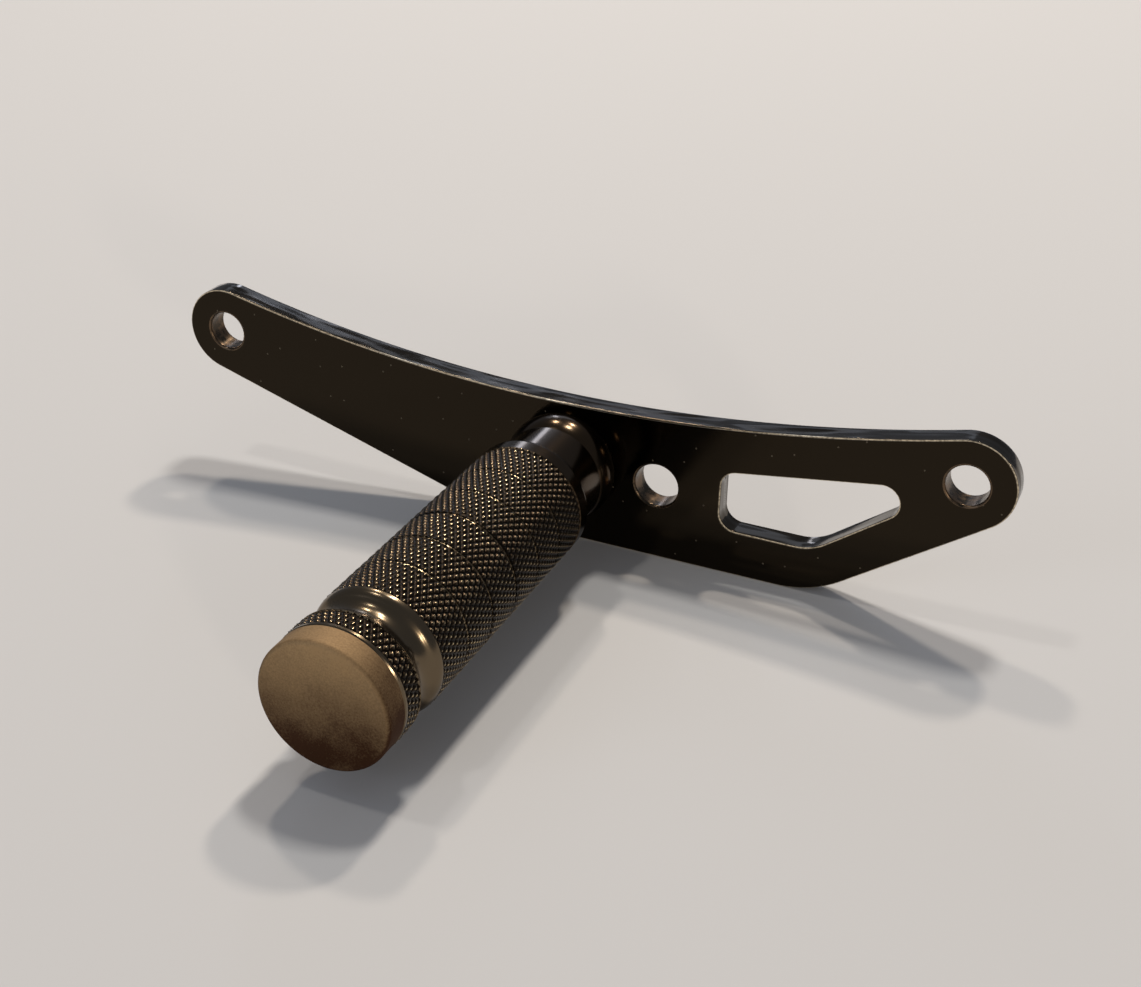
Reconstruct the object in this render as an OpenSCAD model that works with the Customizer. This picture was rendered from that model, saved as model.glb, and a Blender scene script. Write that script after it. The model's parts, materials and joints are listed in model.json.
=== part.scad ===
// Shift lock peg for a motorbike: a flat steel bracket that bolts on by its two
// ends, with a knurled steel peg standing out of its front face.
// The bracket stands in the XZ plane with its back face at y = 0 and its front
// face towards -Y. The X axis runs through the centres of the two end holes,
// the origin is midway between them on the back face, and the peg points to -Y.

/* [Bracket plate] */
// Distance between the centres of the two end holes
hole_spacing = 203.2; // [190:0.1:230]
// Thickness of the plate
plate_t = 6.35; // [5.6:0.05:10]
// Radius of the round lug at each end
lug_r = 11.7; // [9:0.1:15]
// Diameter of the bolt hole in each end
end_hole_d = 10.3; // [6:0.1:12]
// Height of the hollow top edge at its lowest point, above the line of the end holes
saddle_z = -0.3; // [-2:0.1:4]
// Depth of the bottom edge below the line of the end holes
bottom_drop = 38.5; // [37:0.5:46]
// Place of the corner where the left arm meets the bottom edge
left_corner_x = -16.7; // [-30:0.1:-10]
// Distance from the right end hole back to the corner of the bottom edge
right_corner_back = 34.6; // [28:0.1:42]
// Radius of the two bottom corners
bottom_corner_r = 28; // [5:1:35]

/* [Middle hole] */
// Diameter of the larger hole beside the peg
middle_hole_d = 11.5; // [8:0.1:13]
// Distance from the peg's axis to the middle hole, along the plate
middle_hole_x = 24.6; // [23.5:0.1:26]
// Depth of the middle hole below the line of the end holes
middle_hole_drop = 18; // [14:0.1:22]

/* [Window] */
// Distance from the right end hole to the straight left edge of the window
window_left_back = 59.5; // [57:0.1:62]
// Width of metal left between the window and the plate's bottom edge
window_rail = 12.3; // [9:0.1:15]
// Depth of the window's upper left corner below the line of the end holes
window_top_drop = 10.4; // [9:0.1:14]
// Rise of the window's top edge towards the right, in degrees
window_top_rise = 8.3; // [5:0.1:9]
// Distance from the right end hole to the lower right corner of the window
window_right_back = 35.3; // [32:0.1:40]
// Slope of the window's right edge, in degrees
window_slope = 36.5; // [34:0.5:40]
// Radius of the window's upper left corner
window_upper_r = 4.2; // [1:0.1:5]
// Radius of the window's lower left corner
window_lower_r = 4.6; // [1:0.1:6]
// Radius of the blunt corner at the window's lower right
window_blunt_r = 13; // [2:0.5:16]
// Radius of the window's round right end
window_end_r = 4.4; // [3.8:0.1:4.8]

/* [Peg] */
// Diameter over the points of the knurl
peg_d = 31.75; // [31:0.05:34]
// Place of the peg's axis to the right of the plate's middle
peg_x = 0.5; // [-2:0.1:2]
// Depth of the peg's axis below the line of the end holes
peg_drop = 16.4; // [15.5:0.1:18]
// Diameter of the rounded collar that seats on the plate
collar_d = 28.8; // [28:0.1:31]
// Length of the collar, from the plate to the neck
collar_l = 9; // [6:0.1:11]
// Diameter of the plain neck
neck_d = 26.4; // [24:0.1:27.4]
// Distance from the plate to the shoulder behind the neck
shoulder_s = 21.1; // [18:0.1:24]
// Depth that the plain shoulder and rim are skimmed below the knurl's points
skim = 0.175; // [0.05:0.005:0.4]
// Radius on the shoulder's edge
shoulder_r = 1.8; // [0.4:0.1:2.2]
// Distance from the plate to the start of the knurl
knurl_s = 26.6; // [25:0.1:30]

/* [Knurl and grooves] */
// Number of equal knurled bands between the ring grooves
band_count = 6; // [3:1:6]
// Distance from one ring groove to the next
band_pitch = 11.55; // [10:0.05:12.5]
// Width of each ring groove
ring_w = 0.9; // [0.5:0.1:1.5]
// Depth of each ring groove below the knurl's points
ring_depth = 1.1; // [0.9:0.1:2]
// Number of diamonds round the peg
knurl_count = 58; // [12:1:60]
// Length of one diamond along the peg
knurl_pitch = 3; // [3:0.1:12]
// Depth of the knurl from its points to its roots
knurl_depth = 0.6; // [0.3:0.05:0.8]
// Length of the wide polished groove
wide_w = 10.2; // [6:0.1:12]
// Depth of the wide polished groove
wide_depth = 1.8; // [1:0.1:3]
// Radius on the inner edge of the wide groove
wide_lip_r = 2.2; // [0.5:0.1:2.6]
// Length of the short knurled band by the cap
short_band = 4.9; // [3:0.1:6]
// Length of the plain rim that the cap seats on
rim_l = 1.2; // [0.8:0.1:2]

/* [End cap] */
// Distance that the cap's band lies inside the rim's edge
cap_inset = 0.1; // [0.05:0.05:0.8]
// Length of the cap's band, to its outer edge
cap_l = 6.4; // [4:0.1:9]
// Height of the slight dome on the cap's face
cap_dome = 0.5; // [0.2:0.1:1.5]
// Radius on the cap's outer edge
cap_edge_r = 1.2; // [0.4:0.1:2.5]
// Diameter of the spigot pressed into the peg
spigot_d = 16; // [10:0.5:20]
// Length of the spigot
spigot_l = 12; // [8:0.5:20]

/* [Screw] */
// Thread diameter of the countersunk screw behind the peg
screw_d = 10; // [8:1:10]
// Diameter of the screw's head
head_d = 20; // [18:0.5:20]
// Depth of the screw's head below the plate's back face
head_sink = 0.2; // [0.1:0.1:0.4]
// Radial clearance of the screw in the plate
screw_clear = 0.25; // [0.1:0.05:0.5]
// Length of thread that the screw holds in the peg
screw_grip = 16; // [12:1:20]
// Width across the flats of the screw's hexagon socket
socket_af = 6; // [5:0.5:6]
// Depth of the hexagon socket
socket_depth = 3.6; // [2:0.1:3.8]

/* [Hidden] */

$fn = 96;
black_plate = "#23201d";
black_peg = "#2a2724";
bead_blasted = "#7d6f5f";
screw_black = "#3a3836";

// Overlap of cutting shapes past the faces that they cut
past = 1;
// Distance that a hole runs on past the end of what fills it
hole_room = 4;
// Point angle left by a drill at the foot of a blind hole
drill_point = 118;
// Number of steps in each quarter round of a turned profile
round_steps = 8;

half_span = hole_spacing / 2;
bottom_z = -bottom_drop;
right_corner_x = half_span - right_corner_back;
// Amount by which a rounded corner stands past its tangent lines, far too small
// to see, so that the arc and the line cross at a definite point
snug = 0.001;
// Angle by which such an arc runs on under the line
tuck = 2;
// Radius of the hollow top edge, found so that it runs smoothly into both lugs
joined_r = lug_r - snug;
saddle_r = (half_span * half_span + saddle_z * saddle_z - joined_r * joined_r)
    / (2 * (joined_r - saddle_z));
saddle_centre = [0, saddle_z + saddle_r];

peg_z = -peg_drop;
knurl_end = knurl_s + band_count * band_pitch;
wide_end = knurl_end + wide_w;
short_end = wide_end + short_band;
peg_l = short_end + rim_l;
tip_r = peg_d / 2;
land_r = tip_r - skim;
cap_r = land_r - cap_inset;
root_r = tip_r - knurl_depth;
ring_r = tip_r - ring_depth;
// The core stays just inside the knurl's roots, so that the bands sit on it
core_clear = 0.25;
core_r = min(ring_r, root_r - core_clear);
rim_chamfer = 0.3;
// Length of the small bevel by which a turned band drops to the knurl's roots
run_out = 0.3;

// Unit vector of an angle in degrees
function heading(a) = [cos(a), sin(a)];
// Angle of the vector from one point to another
function bearing(from, to) = atan2(to[1] - from[1], to[0] - from[0]);
// Point where a line from a point outside touches the lower side of a circle
function touch(centre, r, from, side) =
    let (
        away = norm(centre - from),
        turn = bearing(centre, from) + side * acos(r / away)
    )
    centre + r * heading(turn);
// Point where two lines meet, each given by a point and an angle
function meet(p, a, q, b) =
    let (
        u = heading(a),
        v = heading(b),
        cross_uv = u[0] * v[1] - u[1] * v[0],
        t = ((q[0] - p[0]) * v[1] - (q[1] - p[1]) * v[0]) / cross_uv
    )
    p + t * u;
// The two ends of the arc that rounds the corner p of an outline
function corner_ends(before, p, after, r) =
    let (
        a = bearing(p, before),
        b = bearing(p, after),
        half = acos(heading(a) * heading(b)) / 2,
        reach = r / tan(half)
    )
    [p + reach * heading(a), p + reach * heading(b)];
// Centre of the arc that rounds the corner p of an outline
function corner_centre(before, p, after, r) =
    let (
        u = heading(bearing(p, before)),
        v = heading(bearing(p, after)),
        half = acos(u * v) / 2,
        w = (u + v) / norm(u + v)
    )
    p + r / sin(half) * w;
// Points along an arc, from one angle to another
function arc(centre, r, from, to, steps = round_steps) =
    [for (i = [0 : steps]) centre + r * heading(from + (to - from) * i / steps)];

// A slice of a disc between two angles
module slice(centre, r, from, to) {
    steps = 4;
    intersection() {
        translate(centre)
            circle(r = r);
        polygon(concat([centre], arc(centre, 2 * r, from, to, steps)));
    }
}

// Fills the rounded corner p of an outline, out from the chord between the arc's ends
module rounded_corner(before, p, after, r) {
    centre = corner_centre(before, p, after, r - snug);
    ends = corner_ends(before, p, after, r - snug);
    from = bearing(centre, ends[0]);
    turn = bearing(centre, ends[1]) - from;
    sweep = turn - 360 * round(turn / 360);
    slice(centre, r, from - sign(sweep) * tuck, from + sweep + sign(sweep) * tuck);
}

// A straight-sided outline with each corner rounded to its own radius
module rounded_outline(points, radii) {
    n = len(points);
    before = [for (i = [0 : n - 1]) points[(i + n - 1) % n]];
    after = [for (i = [0 : n - 1]) points[(i + 1) % n]];
    polygon([
        for (i = [0 : n - 1])
            for (e = corner_ends(before[i], points[i], after[i], radii[i] - snug))
                e
    ]);
    for (i = [0 : n - 1])
        rounded_corner(before[i], points[i], after[i], radii[i]);
}

// Outline of the bracket, with x along the plate and y up
module plate_outline() {
    left = [-half_span, 0];
    right = [half_span, 0];
    left_corner = [left_corner_x, bottom_z];
    right_corner = [right_corner_x, bottom_z];
    left_touch = touch(left, lug_r - snug, left_corner, -1);
    right_touch = touch(right, lug_r - snug, right_corner, 1);
    left_up = bearing(left, saddle_centre);
    right_up = bearing(right, saddle_centre);
    difference() {
        polygon(concat(
            [left, left_touch],
            corner_ends(left_touch, left_corner, right_corner, bottom_corner_r - snug),
            corner_ends(left_corner, right_corner, right_touch, bottom_corner_r - snug),
            [right_touch, right, right + 2 * lug_r * heading(right_up), left + 2 * lug_r * heading(left_up)]
        ));
        translate(saddle_centre)
            circle(r = saddle_r, $fn = 720);
    }
    rounded_corner(left_touch, left_corner, right_corner, bottom_corner_r);
    rounded_corner(left_corner, right_corner, right_touch, bottom_corner_r);
    for (lug = [left, right])
        translate(lug)
            circle(r = lug_r);
}

// Outline of the four-sided window between the middle hole and the right end
module window_outline() {
    upper_left = [half_span - window_left_back, -window_top_drop];
    lower_left = [upper_left[0], bottom_z + window_rail];
    lower_right = [half_span - window_right_back, lower_left[1]];
    right_end = meet(upper_left, window_top_rise, lower_right, window_slope);
    rounded_outline(
        [upper_left, lower_left, lower_right, right_end],
        [window_upper_r, window_lower_r, window_blunt_r, window_end_r]
    );
}

// Stands a flat outline up with its back on y = 0
module stand_up() {
    rotate([90, 0, 0])
        children();
}

// Carries a turned piece, drawn along +Z from the plate's front face, to the peg's axis
module on_peg_axis() {
    translate([peg_x, -plate_t, peg_z])
        rotate([90, 0, 0])
            children();
}

// Flat bracket with its holes, its window and the countersink behind the peg
module bracket_plate() {
    hole_r = screw_d / 2 + screw_clear;
    mouth_r = head_d / 2 + past;
    color(black_plate)
        difference() {
            stand_up()
                linear_extrude(plate_t)
                    difference() {
                        plate_outline();
                        window_outline();
                        for (x = [-half_span, half_span])
                            translate([x, 0])
                                circle(d = end_hole_d);
                        translate([peg_x + middle_hole_x, -middle_hole_drop])
                            circle(d = middle_hole_d);
                    }
            // The countersink is cut at 90 degrees, so its depth follows its radius
            translate([peg_x, past, peg_z])
                rotate([90, 0, 0])
                    rotate_extrude()
                        polygon([
                            [0, 0],
                            [mouth_r, 0],
                            [hole_r, mouth_r - hole_r],
                            [hole_r, plate_t + 2 * past],
                            [0, plate_t + 2 * past]
                        ]);
        }
}

// Half section of the turned peg, as radius and distance from the plate
function collar_profile() =
    let (
        rise = (collar_d - neck_d) / 2,
        half_l = collar_l / 2,
        bead_r = (half_l * half_l + rise * rise) / (2 * rise),
        swing = asin(half_l / bead_r)
    )
    arc([collar_d / 2 - bead_r, half_l], bead_r, -swing, swing, 2 * round_steps);
function shoulder_profile() =
    concat(
        [[neck_d / 2, shoulder_s]],
        arc([land_r - shoulder_r, shoulder_s + shoulder_r], shoulder_r, -90, 0),
        [[land_r, knurl_s - run_out]]
    );
// The wide groove: a rounded inner lip that runs into one hollow arc
function wide_groove_profile() =
    let (
        hollow_l = wide_w - wide_lip_r - 2 * run_out,
        half_l = hollow_l / 2,
        hollow_r = (half_l * half_l + wide_depth * wide_depth) / (2 * wide_depth),
        swing = asin(half_l / hollow_r),
        lip_r = wide_lip_r / sin(swing),
        lip_drop = lip_r * (1 - cos(swing)),
        floor_r = land_r - wide_depth
    )
    concat(
        arc([land_r - lip_r, knurl_end + run_out], lip_r, 0, swing),
        [
            for (i = [1 : 2 * round_steps])
                let (a = swing - 2 * swing * i / (2 * round_steps))
                [
                    floor_r + hollow_r * (1 - cos(a)) - lip_drop * (1 + sin(a) / sin(swing)) / 2,
                    wide_end - run_out - half_l - hollow_r * sin(a)
                ]
        ]
    );

// The turned parts of the peg between the knurled bands: foot, ring grooves,
// wide groove and rim. Each ends inside the knurl's roots where a band begins.
module peg_turnings() {
    rotate_extrude()
        polygon(concat(
            [[0, 0]],
            collar_profile(),
            shoulder_profile(),
            [[core_r, knurl_s], [0, knurl_s]]
        ));
    for (k = [1 : band_count - 1])
        translate([0, 0, knurl_s + k * band_pitch - ring_w / 2])
            cylinder(r = ring_r, h = ring_w);
    rotate_extrude()
        polygon(concat(
            [[0, knurl_end], [core_r, knurl_end]],
            wide_groove_profile(),
            [[core_r, wide_end], [0, wide_end]]
        ));
    rotate_extrude()
        polygon([
            [0, short_end],
            [core_r, short_end],
            [land_r, short_end + run_out],
            [land_r, peg_l - rim_chamfer],
            [land_r - rim_chamfer, peg_l],
            [0, peg_l]
        ]);
}

// One band of diamond knurl: a ring of four-sided points in staggered rows.
// Rows and columns stand half a diamond apart, points and roots take turns,
// and each cell is split from root to root so that every point is a pyramid.
// Each end is a fan about the axis, because its zigzag edge isn't convex.
module knurl_band(from, to) {
    columns = 2 * knurl_count;
    rows = max(1, round((to - from) / (knurl_pitch / 2)));
    step = (to - from) / rows;
    points = [
        for (j = [0 : rows])
            for (i = [0 : columns - 1])
                let (
                    r = (i + j) % 2 == 0 ? tip_r : root_r,
                    a = 360 * i / columns
                )
                [r * cos(a), r * sin(a), from + j * step]
    ];
    centres = [[0, 0, from], [0, 0, to]];
    foot_centre = len(points);
    top_centre = foot_centre + 1;
    last = rows * columns;
    foot = [for (i = [0 : columns - 1]) [foot_centre, i, (i + 1) % columns]];
    top = [for (i = [0 : columns - 1]) [top_centre, last + (i + 1) % columns, last + i]];
    sides = [
        for (j = [0 : rows - 1])
            for (i = [0 : columns - 1])
                let (
                    a = j * columns + i,
                    b = j * columns + (i + 1) % columns,
                    c = b + columns,
                    d = a + columns
                )
                for (f = (i + j) % 2 == 0 ? [[a, d, b], [d, c, b]] : [[a, d, c], [a, c, b]])
                    f
    ];
    polyhedron(points = concat(points, centres), faces = concat(foot, sides, top));
}

// The knurled peg, turned from one bar, with a tapped hole at its foot and a
// plain hole at its outer end for the cap's spigot
module knurled_peg() {
    thread_l = screw_grip + hole_room;
    point_l = screw_d / 2 / tan(drill_point / 2);
    color(black_peg)
        on_peg_axis()
            difference() {
                union() {
                    peg_turnings();
                    for (k = [0 : band_count - 1]) {
                        knurl_band(
                            knurl_s + k * band_pitch + (k == 0 ? 0 : ring_w / 2),
                            knurl_s + (k + 1) * band_pitch - (k == band_count - 1 ? 0 : ring_w / 2)
                        );
                    }
                    knurl_band(wide_end, short_end);
                }
                translate([0, 0, -past])
                    cylinder(d = screw_d, h = thread_l + past);
                translate([0, 0, thread_l])
                    cylinder(d1 = screw_d, d2 = 0, h = point_l);
                translate([0, 0, peg_l - spigot_l - past])
                    cylinder(d = spigot_d, h = spigot_l + 2 * past);
            }
}

// The pressed-in cap with a softened edge, a slight dome and its spigot
module end_cap() {
    edge_in = cap_r - cap_edge_r;
    dome_r = (edge_in * edge_in + cap_dome * cap_dome) / (2 * cap_dome);
    dome_swing = asin(edge_in / dome_r);
    color(bead_blasted)
        on_peg_axis()
            translate([0, 0, peg_l])
                rotate_extrude()
                    polygon(concat(
                        [[0, -spigot_l], [spigot_d / 2, -spigot_l], [spigot_d / 2, 0], [cap_r, 0]],
                        arc([edge_in, cap_l - cap_edge_r], cap_edge_r, 0, 90),
                        [
                            for (i = [1 : round_steps])
                                let (a = dome_swing * (1 - i / round_steps))
                                [dome_r * sin(a), cap_l + cap_dome - dome_r * (1 - cos(a))]
                        ]
                    ));
}

// Countersunk screw with a hexagon socket, driven from behind into the peg
module peg_screw() {
    shank_r = screw_d / 2;
    head_r = head_d / 2 - head_sink;
    head_l = head_r - shank_r;
    shank_l = plate_t - head_sink - head_l + screw_grip;
    color(screw_black)
        translate([peg_x, -head_sink, peg_z])
            rotate([90, 0, 0])
                difference() {
                    union() {
                        cylinder(r1 = head_r, r2 = shank_r, h = head_l);
                        cylinder(r = shank_r, h = head_l + shank_l);
                    }
                    translate([0, 0, -past])
                        cylinder(d = socket_af / cos(30), h = socket_depth + past, $fn = 6);
                }
}

bracket_plate();
knurled_peg();
end_cap();
peg_screw();
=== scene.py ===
"""Dresses a motorbike's shift lock peg: a black-plated steel bracket with a knurled
steel peg, its bead-blasted end cap and the countersunk screw behind it.

The part stands in its own frame, in metres: X runs through the two end holes,
Y through the plate, whose back is at y = 0, and Z is up. The peg points to -Y.

Profiles are drawn in u and s: u is the distance out from an axis or an outline, and s
the distance forward of the plate's back. A run is one line or one smooth curve of a
profile. A station is a point with the direction out from it, and a profile's runs are
swept over the stations round an outline or an axis.
"""
import json
import math

import bpy
from bpy.props import FloatProperty, FloatVectorProperty, IntProperty, PointerProperty, StringProperty
from bpy.types import Operator, Panel, PropertyGroup
from mathutils import Matrix, Vector
from mathutils.geometry import tessellate_polygon


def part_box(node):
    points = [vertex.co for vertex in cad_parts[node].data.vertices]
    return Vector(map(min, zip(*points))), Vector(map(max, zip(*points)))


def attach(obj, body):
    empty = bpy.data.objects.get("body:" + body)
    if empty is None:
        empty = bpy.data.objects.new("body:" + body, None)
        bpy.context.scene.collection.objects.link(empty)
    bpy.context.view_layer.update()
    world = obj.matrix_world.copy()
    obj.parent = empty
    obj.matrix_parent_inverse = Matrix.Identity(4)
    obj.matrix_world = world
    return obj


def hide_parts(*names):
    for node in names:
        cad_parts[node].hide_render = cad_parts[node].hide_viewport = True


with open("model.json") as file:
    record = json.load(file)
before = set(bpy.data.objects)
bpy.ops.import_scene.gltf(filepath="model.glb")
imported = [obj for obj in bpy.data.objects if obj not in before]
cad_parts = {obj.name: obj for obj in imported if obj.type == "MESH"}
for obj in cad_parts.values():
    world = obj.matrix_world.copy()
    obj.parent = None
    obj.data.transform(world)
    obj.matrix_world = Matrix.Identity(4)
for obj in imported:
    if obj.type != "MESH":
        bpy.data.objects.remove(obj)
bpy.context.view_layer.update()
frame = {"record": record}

bl_info = {
    "name": "Shift lock peg",
    "version": (1, 0, 0),
    "blender": (4, 5, 0),
    "location": "View3D > Sidebar > Shift lock peg",
    "description": "Builds the plated bracket, the knurled peg, its cap and its screw around their frame",
    "category": "Object",
}

MM = 0.001
BODY = "root"
BACKWARD = Vector((0, 1, 0))

PLATE_LOW, PLATE_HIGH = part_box("bracket_plate")
PEG_LOW, PEG_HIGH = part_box("knurled_peg")
CAP_LOW, CAP_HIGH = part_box("end_cap")
SCREW_LOW, SCREW_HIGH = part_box("peg_screw")
MOUNTS = {m["name"]: m for m in frame["record"]["mounts"]}
END_BOLTS, MIDDLE_HOLE = MOUNTS["end_bolts"], MOUNTS["middle_hole"]
# Radius over the knurl's points
PEG_TIP_R = (PEG_HIGH.x - PEG_LOW.x) / 2

# Greatest gap between an arc of the plate's outline and its straight steps
ARC_SAG = 0.003 * MM
# Steps along each rounded stretch of a profile
ARRIS_STEPS = 4
COLLAR_STEPS = 36
SHOULDER_STEPS = 12
RING_STEPS = 12
WIDE_STEPS = 28
DOME_STEPS = 24
CAP_EDGE_STEPS = 10
# Stations round the cap, the screw and the screw's socket
CAP_STATIONS = 128
SCREW_STATIONS = 96
HEXAGON = 6

# How far under the knurl's roots lie the plain core and the ring grooves' lips, and
# how far under them a point has to lie to get the ring grooves' finish
CORE_DROP = 0.25 * MM
LIP_DROP = 0.03 * MM
GROOVE_DROP = 0.02 * MM
# The tapped hole ends in a drill's cone, and the cone and the cap's dome in a small flat
DRILL_HALF_ANGLE = math.radians(59)
DRILL_FLAT_R = 0.2 * MM
DOME_FLAT_R = 0.3 * MM

# Inputs of a Mix node that mixes colours, and of one that mixes numbers
FACTOR, COLOUR_A, COLOUR_B = 0, 6, 7
NUMBER_A, NUMBER_B = 2, 3
# Where most of a noise's values lie
NOISE_SPREAD = {"From Min": 0.3, "From Max": 0.7}
# How squarely the middle of a rounded arris faces along Y, from 0 on a cut edge to 1 on a face
ARRIS_FACING = 0.65

# Each lamp's name, its place, width and height in metres, its watts and its tint. The
# small warm ones give the glints on the knurl, the collar and the wide groove, and the
# two cool ones at the back the bluish reflections in the neck and the plate's top edge.
LAMPS = [
    ("warm_key", (0.0, 1.44, 1.89), 0.16, 0.16, 17.0, "#fff0de"),
    ("left_key", (-0.9, 1.12, 1.88), 0.16, 0.16, 12.0, "#fff0de"),
    ("window_strip", (-1.08, 1.94, 0.94), 0.16, 0.6, 1.8, "#dfe9ff"),
    ("sky_panel", (-0.9, 2.08, 1.11), 1.3, 0.5, 1.4, "#cfdef8"),
    ("side_lamp", (1.66, -1.68, 0.5), 0.16, 0.16, 10.0, "#fff0dc"),
    ("ceiling_lamp", (0.0, 0.86, 2.24), 0.28, 0.28, 21.0, "#fff9f1"),
    ("small_ceiling_lamp", (-0.84, -0.17, 2.23), 0.16, 0.16, 5.0, "#fff9f1"),
    ("front_fill", (-1.05, -1.9, 0.9), 1.1, 0.9, 6.0, "#eef3ff"),
]


def size(name, description, default, low=0.0, high=1.0):
    """A length or a place, in metres."""
    return FloatProperty(
        name=name, description=description, default=default, min=low, max=high, unit="LENGTH", precision=5
    )


def angle(name, description, degrees):
    """An angle, written in degrees."""
    return FloatProperty(name=name, description=description, default=math.radians(degrees), unit="ROTATION")


def colour(name, description, default):
    """A finish's colour as an sRGB hex value."""
    return StringProperty(name=name, description=description, default=default, maxlen=7)


class PlateSettings(PropertyGroup):
    """Sizes and finish of the flat bracket"""

    hole_spacing: size(
        "Hole spacing", "Distance between the two end holes", END_BOLTS["dims"]["spacing_x_mm"] * MM
    )
    thickness: size("Thickness", "Thickness of the plate", PLATE_HIGH.y - PLATE_LOW.y)
    lug_r: size("Lug radius", "Radius of the round lug at each end", 11.7 * MM)
    end_hole_r: size("End hole radius", "Radius of each end hole", END_BOLTS["dims"]["hole_r_mm"] * MM)
    middle_hole_r: size("Middle hole radius", "Radius of the middle hole", MIDDLE_HOLE["dims"]["r_mm"] * MM)
    saddle_z: size("Saddle height", "Height of the hollow top edge at its lowest point", -0.3 * MM, -1)
    bottom_z: size("Bottom height", "Height of the straight bottom edge", PLATE_LOW.z, -1)
    left_corner_x: size("Left corner", "Place of the bottom's left corner", -16.7 * MM, -1)
    right_corner_x: size("Right corner", "Place of the bottom's right corner", 67 * MM)
    bottom_corner_r: size("Bottom corner radius", "Radius of the two bottom corners", 28 * MM)
    window_left_x: size("Window left", "Place of the window's straight left edge", 42.1 * MM)
    window_rail: size("Window rail", "Metal left between the window and the bottom edge", 12.3 * MM)
    window_top_z: size("Window top", "Height of the window's upper left corner", -10.4 * MM, -1)
    window_top_rise: angle("Window top rise", "Rise of the window's top edge", 8.3)
    window_right_x: size("Window right", "Place of the window's lower right corner", 66.3 * MM)
    window_slope: angle("Window slope", "Slope of the window's right edge", 36.5)
    window_upper_r: size("Window upper radius", "Radius of the upper left corner", 4.2 * MM)
    window_lower_r: size("Window lower radius", "Radius of the lower left corner", 4.6 * MM)
    window_blunt_r: size("Window blunt radius", "Radius of the lower right corner", 13 * MM)
    window_end_r: size("Window end radius", "Radius of the window's right end", 4.4 * MM)
    countersink_r: size("Countersink radius", "Mouth of the countersink on the back face", 10 * MM)
    screw_hole_r: size("Screw hole radius", "Radius of the screw's hole through the plate", 5.25 * MM)
    edge_r: size("Edge radius", "Radius on the plate's edges", 0.6 * MM)
    plating: colour("Plating", "Colour of the black nickel plate", "#2c261e")
    cut_edge: colour("Cut edges", "Colour of the plate on the polished cut edges", "#403930")
    bored: colour("Bored walls", "Colour of the thin plate down in the bored holes", "#6a5846")
    # Painted highlight: the pale colour down the rounded arrises stands in for their bright edge line
    arris: colour("Arrises", "Colour of the plate painted pale down the arrises as their highlight", "#e6d6ba")
    dust: colour("Dust", "Colour of the specks of dust", "#8d8474")


class PegSettings(PropertyGroup):
    """Sizes and finish of the knurled peg"""

    collar_r: size("Collar radius", "Radius over the rounded collar", 14.4 * MM)
    collar_l: size("Collar length", "Length of the collar from the plate", 9 * MM)
    neck_r: size("Neck radius", "Radius of the plain neck", 13.2 * MM)
    shoulder_s: size("Shoulder place", "Distance from the plate to the shoulder", 21.1 * MM)
    band_r: size("Plain radius", "Radius of the shoulder, the wide groove's edges and the rim", 15.7 * MM)
    shoulder_edge_r: size("Shoulder edge radius", "Radius on the shoulder's edge", 1.8 * MM)
    knurl_s: size("Knurl start", "Distance from the plate to the knurl", 26.6 * MM)
    band_pitch: size("Band pitch", "Distance from one ring groove to the next", 11.55 * MM)
    band_count: IntProperty(name="Bands", description="Number of equal knurled bands", default=6, min=1)
    ring_w: size("Ring width", "Width of each ring groove", 0.65 * MM)
    ring_depth: size("Ring depth", "Depth of each ring groove", 0.7 * MM)
    knurl_count: IntProperty(name="Diamonds", description="Diamonds round the peg", default=58, min=12)
    knurl_pitch: size("Knurl pitch", "Length of one diamond along the peg", 3 * MM)
    knurl_depth: size("Knurl depth", "Depth of the knurl from its points to its roots", 0.6 * MM)
    wide_w: size("Wide groove length", "Length of the wide polished groove", 10.2 * MM)
    wide_depth: size("Wide groove depth", "Depth of the wide polished groove", 1.8 * MM)
    wide_lip_l: size("Wide groove lip", "Length of the wide groove's rounded inner lip", 2.2 * MM)
    short_band: size("Short band", "Length of the short knurled band by the cap", 4.9 * MM)
    rim_l: size("Rim length", "Length of the plain rim at the cap", 1.2 * MM)
    rim_chamfer: size("Rim chamfer", "Bevel on the rim's edge", 0.3 * MM)
    run_out: size("Run-out", "Length of the bevel by which a turned band drops to the knurl", 0.3 * MM)
    thread_r: size("Thread radius", "Radius of the tapped hole", 5 * MM)
    thread_l: size("Thread length", "Depth of the tapped hole", 20 * MM)
    socket_r: size("Spigot hole radius", "Radius of the hole for the cap's spigot", 8 * MM)
    socket_l: size("Spigot hole length", "Depth of the hole for the cap's spigot", 13 * MM)
    plating: colour("Plating", "Colour of the black nickel plate", "#43372a")
    rubbed: colour("Rubbed plating", "Colour of the turned plate where boots rub the outer end", "#6b5e4c")
    grooves: colour("Ring grooves", "Colour of the thin plate down in the ring grooves", "#7c6b53")
    worn: colour("Worn points", "Colour of the plate where the knurl's points are rubbed", "#d9c299")
    # Painted shade: the knurl's roots are coloured nearly black where shade falls between its points
    roots: colour("Roots", "Colour of the shade painted down in the knurl's roots", "#0e0b09")


class CapSettings(PropertyGroup):
    """Sizes and finish of the end cap"""

    radius: size("Cap radius", "Radius of the cap's band", (CAP_HIGH.x - CAP_LOW.x) / 2)
    length: size("Cap length", "Length of the cap's band", 6.4 * MM)
    dome: size("Dome", "Height of the slight dome on the face", 0.5 * MM)
    edge_r: size("Edge radius", "Radius on the cap's outer edge", 1.2 * MM)
    seam: size("Seam", "Small bevel where the cap meets the rim", 0.15 * MM)
    spigot_r: size("Spigot radius", "Radius of the pressed-in spigot", 8 * MM)
    spigot_l: size("Spigot length", "Length of the spigot", 12 * MM)
    steel: colour("Steel", "Colour of the bead-blasted steel", "#bba079")
    # Painted shade: this dark colour also darkens the cap towards its bottom and round its band
    dark_tone_and_shade: colour("Dark tone and shade", "Colour of the steel's dark tone, and of the shade painted low down and round the band", "#4a3121")


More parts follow.
